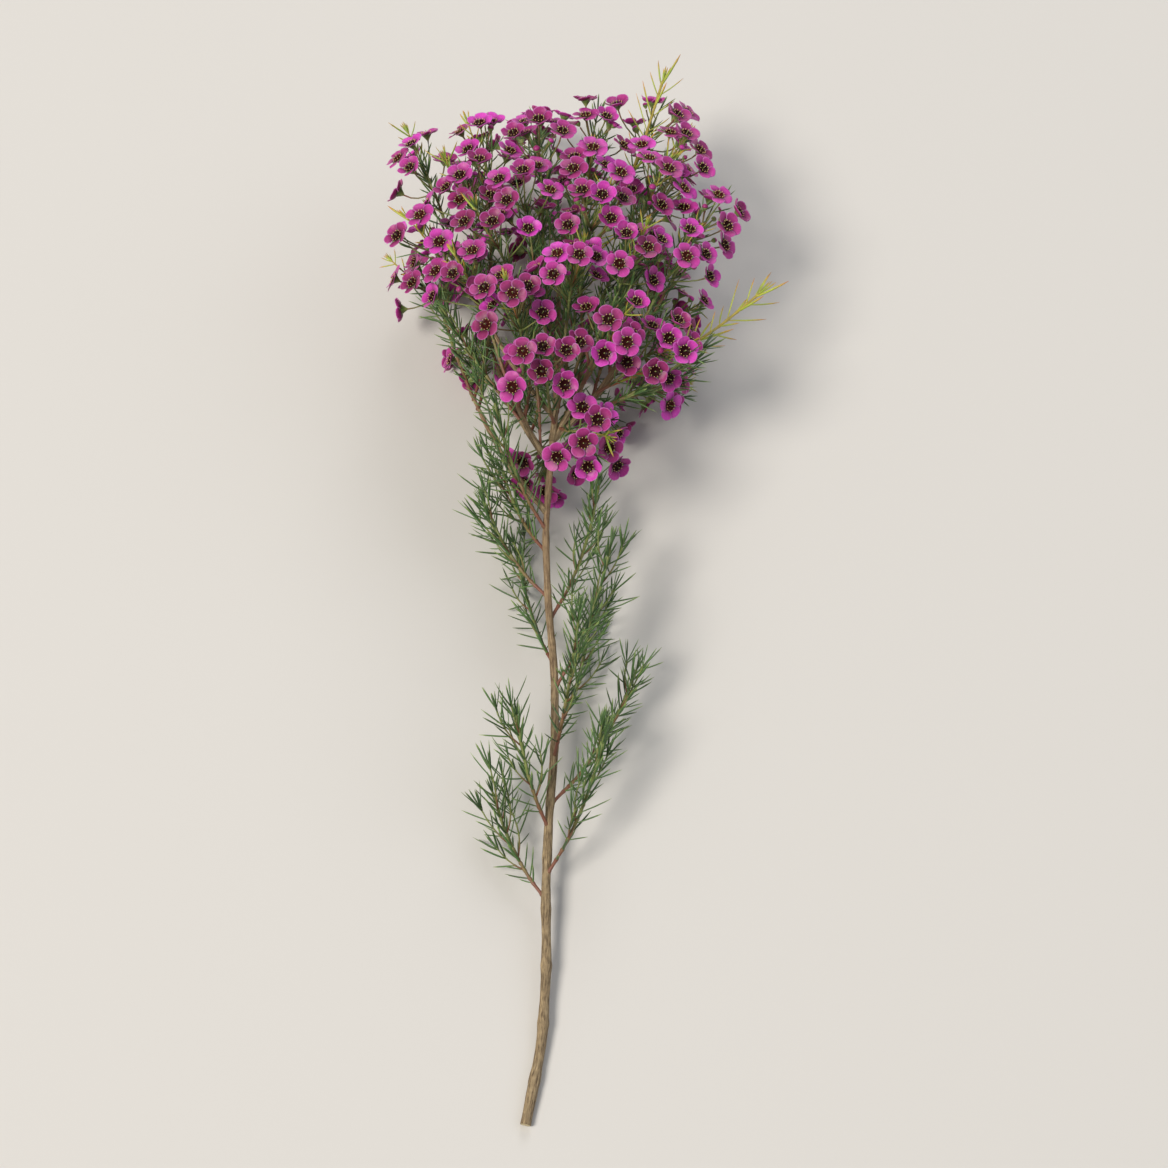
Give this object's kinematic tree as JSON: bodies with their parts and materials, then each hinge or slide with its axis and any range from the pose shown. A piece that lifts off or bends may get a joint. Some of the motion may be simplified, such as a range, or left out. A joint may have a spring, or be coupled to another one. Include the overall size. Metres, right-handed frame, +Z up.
{
  "type": "waxflower stem",
  "caption": "Cut stem of a flowering shrub, lying down: a forked woody stem with thin green twigs, needle leaves and a domed head of small waxy magenta flowers.",
  "frame": {"origin": "on the surface that the stem lies on, under the middle of its bounding box", "axes": "+Y along the stem from the cut end to the flowering head, +X across it, +Z up from the surface"},
  "size_m": [0.2105, 0.5598, 0.1228],
  "materials": {
    "bark": "dry fissured bark",
    "needles": "waxy dark green leaf",
    "young_needles": "waxy lime green leaf",
    "petals": "waxy petals on green twigs"
  },
  "bodies": {
    "root": {"flower_spray_01": "petals", "flower_spray_02": "petals", "flower_spray_03": "petals", "flower_spray_04": "petals", "flower_spray_05": "petals", "flower_spray_06": "petals", "flower_spray_07": "petals", "flower_spray_08": "petals", "flower_spray_09": "petals", "flower_spray_10": "petals", "flower_spray_11": "petals", "flower_spray_12": "petals", "flower_spray_13": "petals", "flower_spray_14": "petals", "flower_spray_15": "petals", "flower_spray_16": "petals", "flower_spray_17": "petals", "flower_spray_18": "petals", "flower_spray_19": "petals", "flower_spray_20": "petals", "flower_spray_21": "petals", "flower_spray_22": "petals", "flower_spray_23": "petals", "flower_spray_24": "petals", "flower_spray_25": "petals", "flower_spray_26": "petals", "flower_spray_27": "petals", "flower_spray_28": "petals", "flower_spray_29": "petals", "flower_spray_30": "petals", "flower_spray_31": "petals", "flower_spray_32": "petals", "flower_spray_33": "petals", "flower_spray_34": "petals", "flower_spray_35": "petals", "flower_spray_36": "petals", "flower_spray_37": "petals", "flower_spray_38": "petals", "flower_spray_39": "petals", "flower_spray_40": "petals", "leafy_shoot_01": "needles", "leafy_shoot_02": "needles", "leafy_shoot_03": "needles", "leafy_shoot_04": "needles", "leafy_shoot_05": "needles", "leafy_shoot_06": "needles", "leafy_shoot_07": "needles", "leafy_shoot_08": "needles", "leafy_shoot_09": "needles", "leafy_shoot_10": "needles", "leafy_shoot_11": "needles", "leafy_shoot_12": "needles", "leafy_shoot_13": "needles", "leafy_shoot_14": "needles", "leafy_shoot_15": "needles", "leafy_shoot_16": "needles", "leafy_shoot_17": "needles", "woody_stem": "bark", "young_shoot_01": "young_needles", "young_shoot_02": "young_needles"}
  },
  "joints": []
}
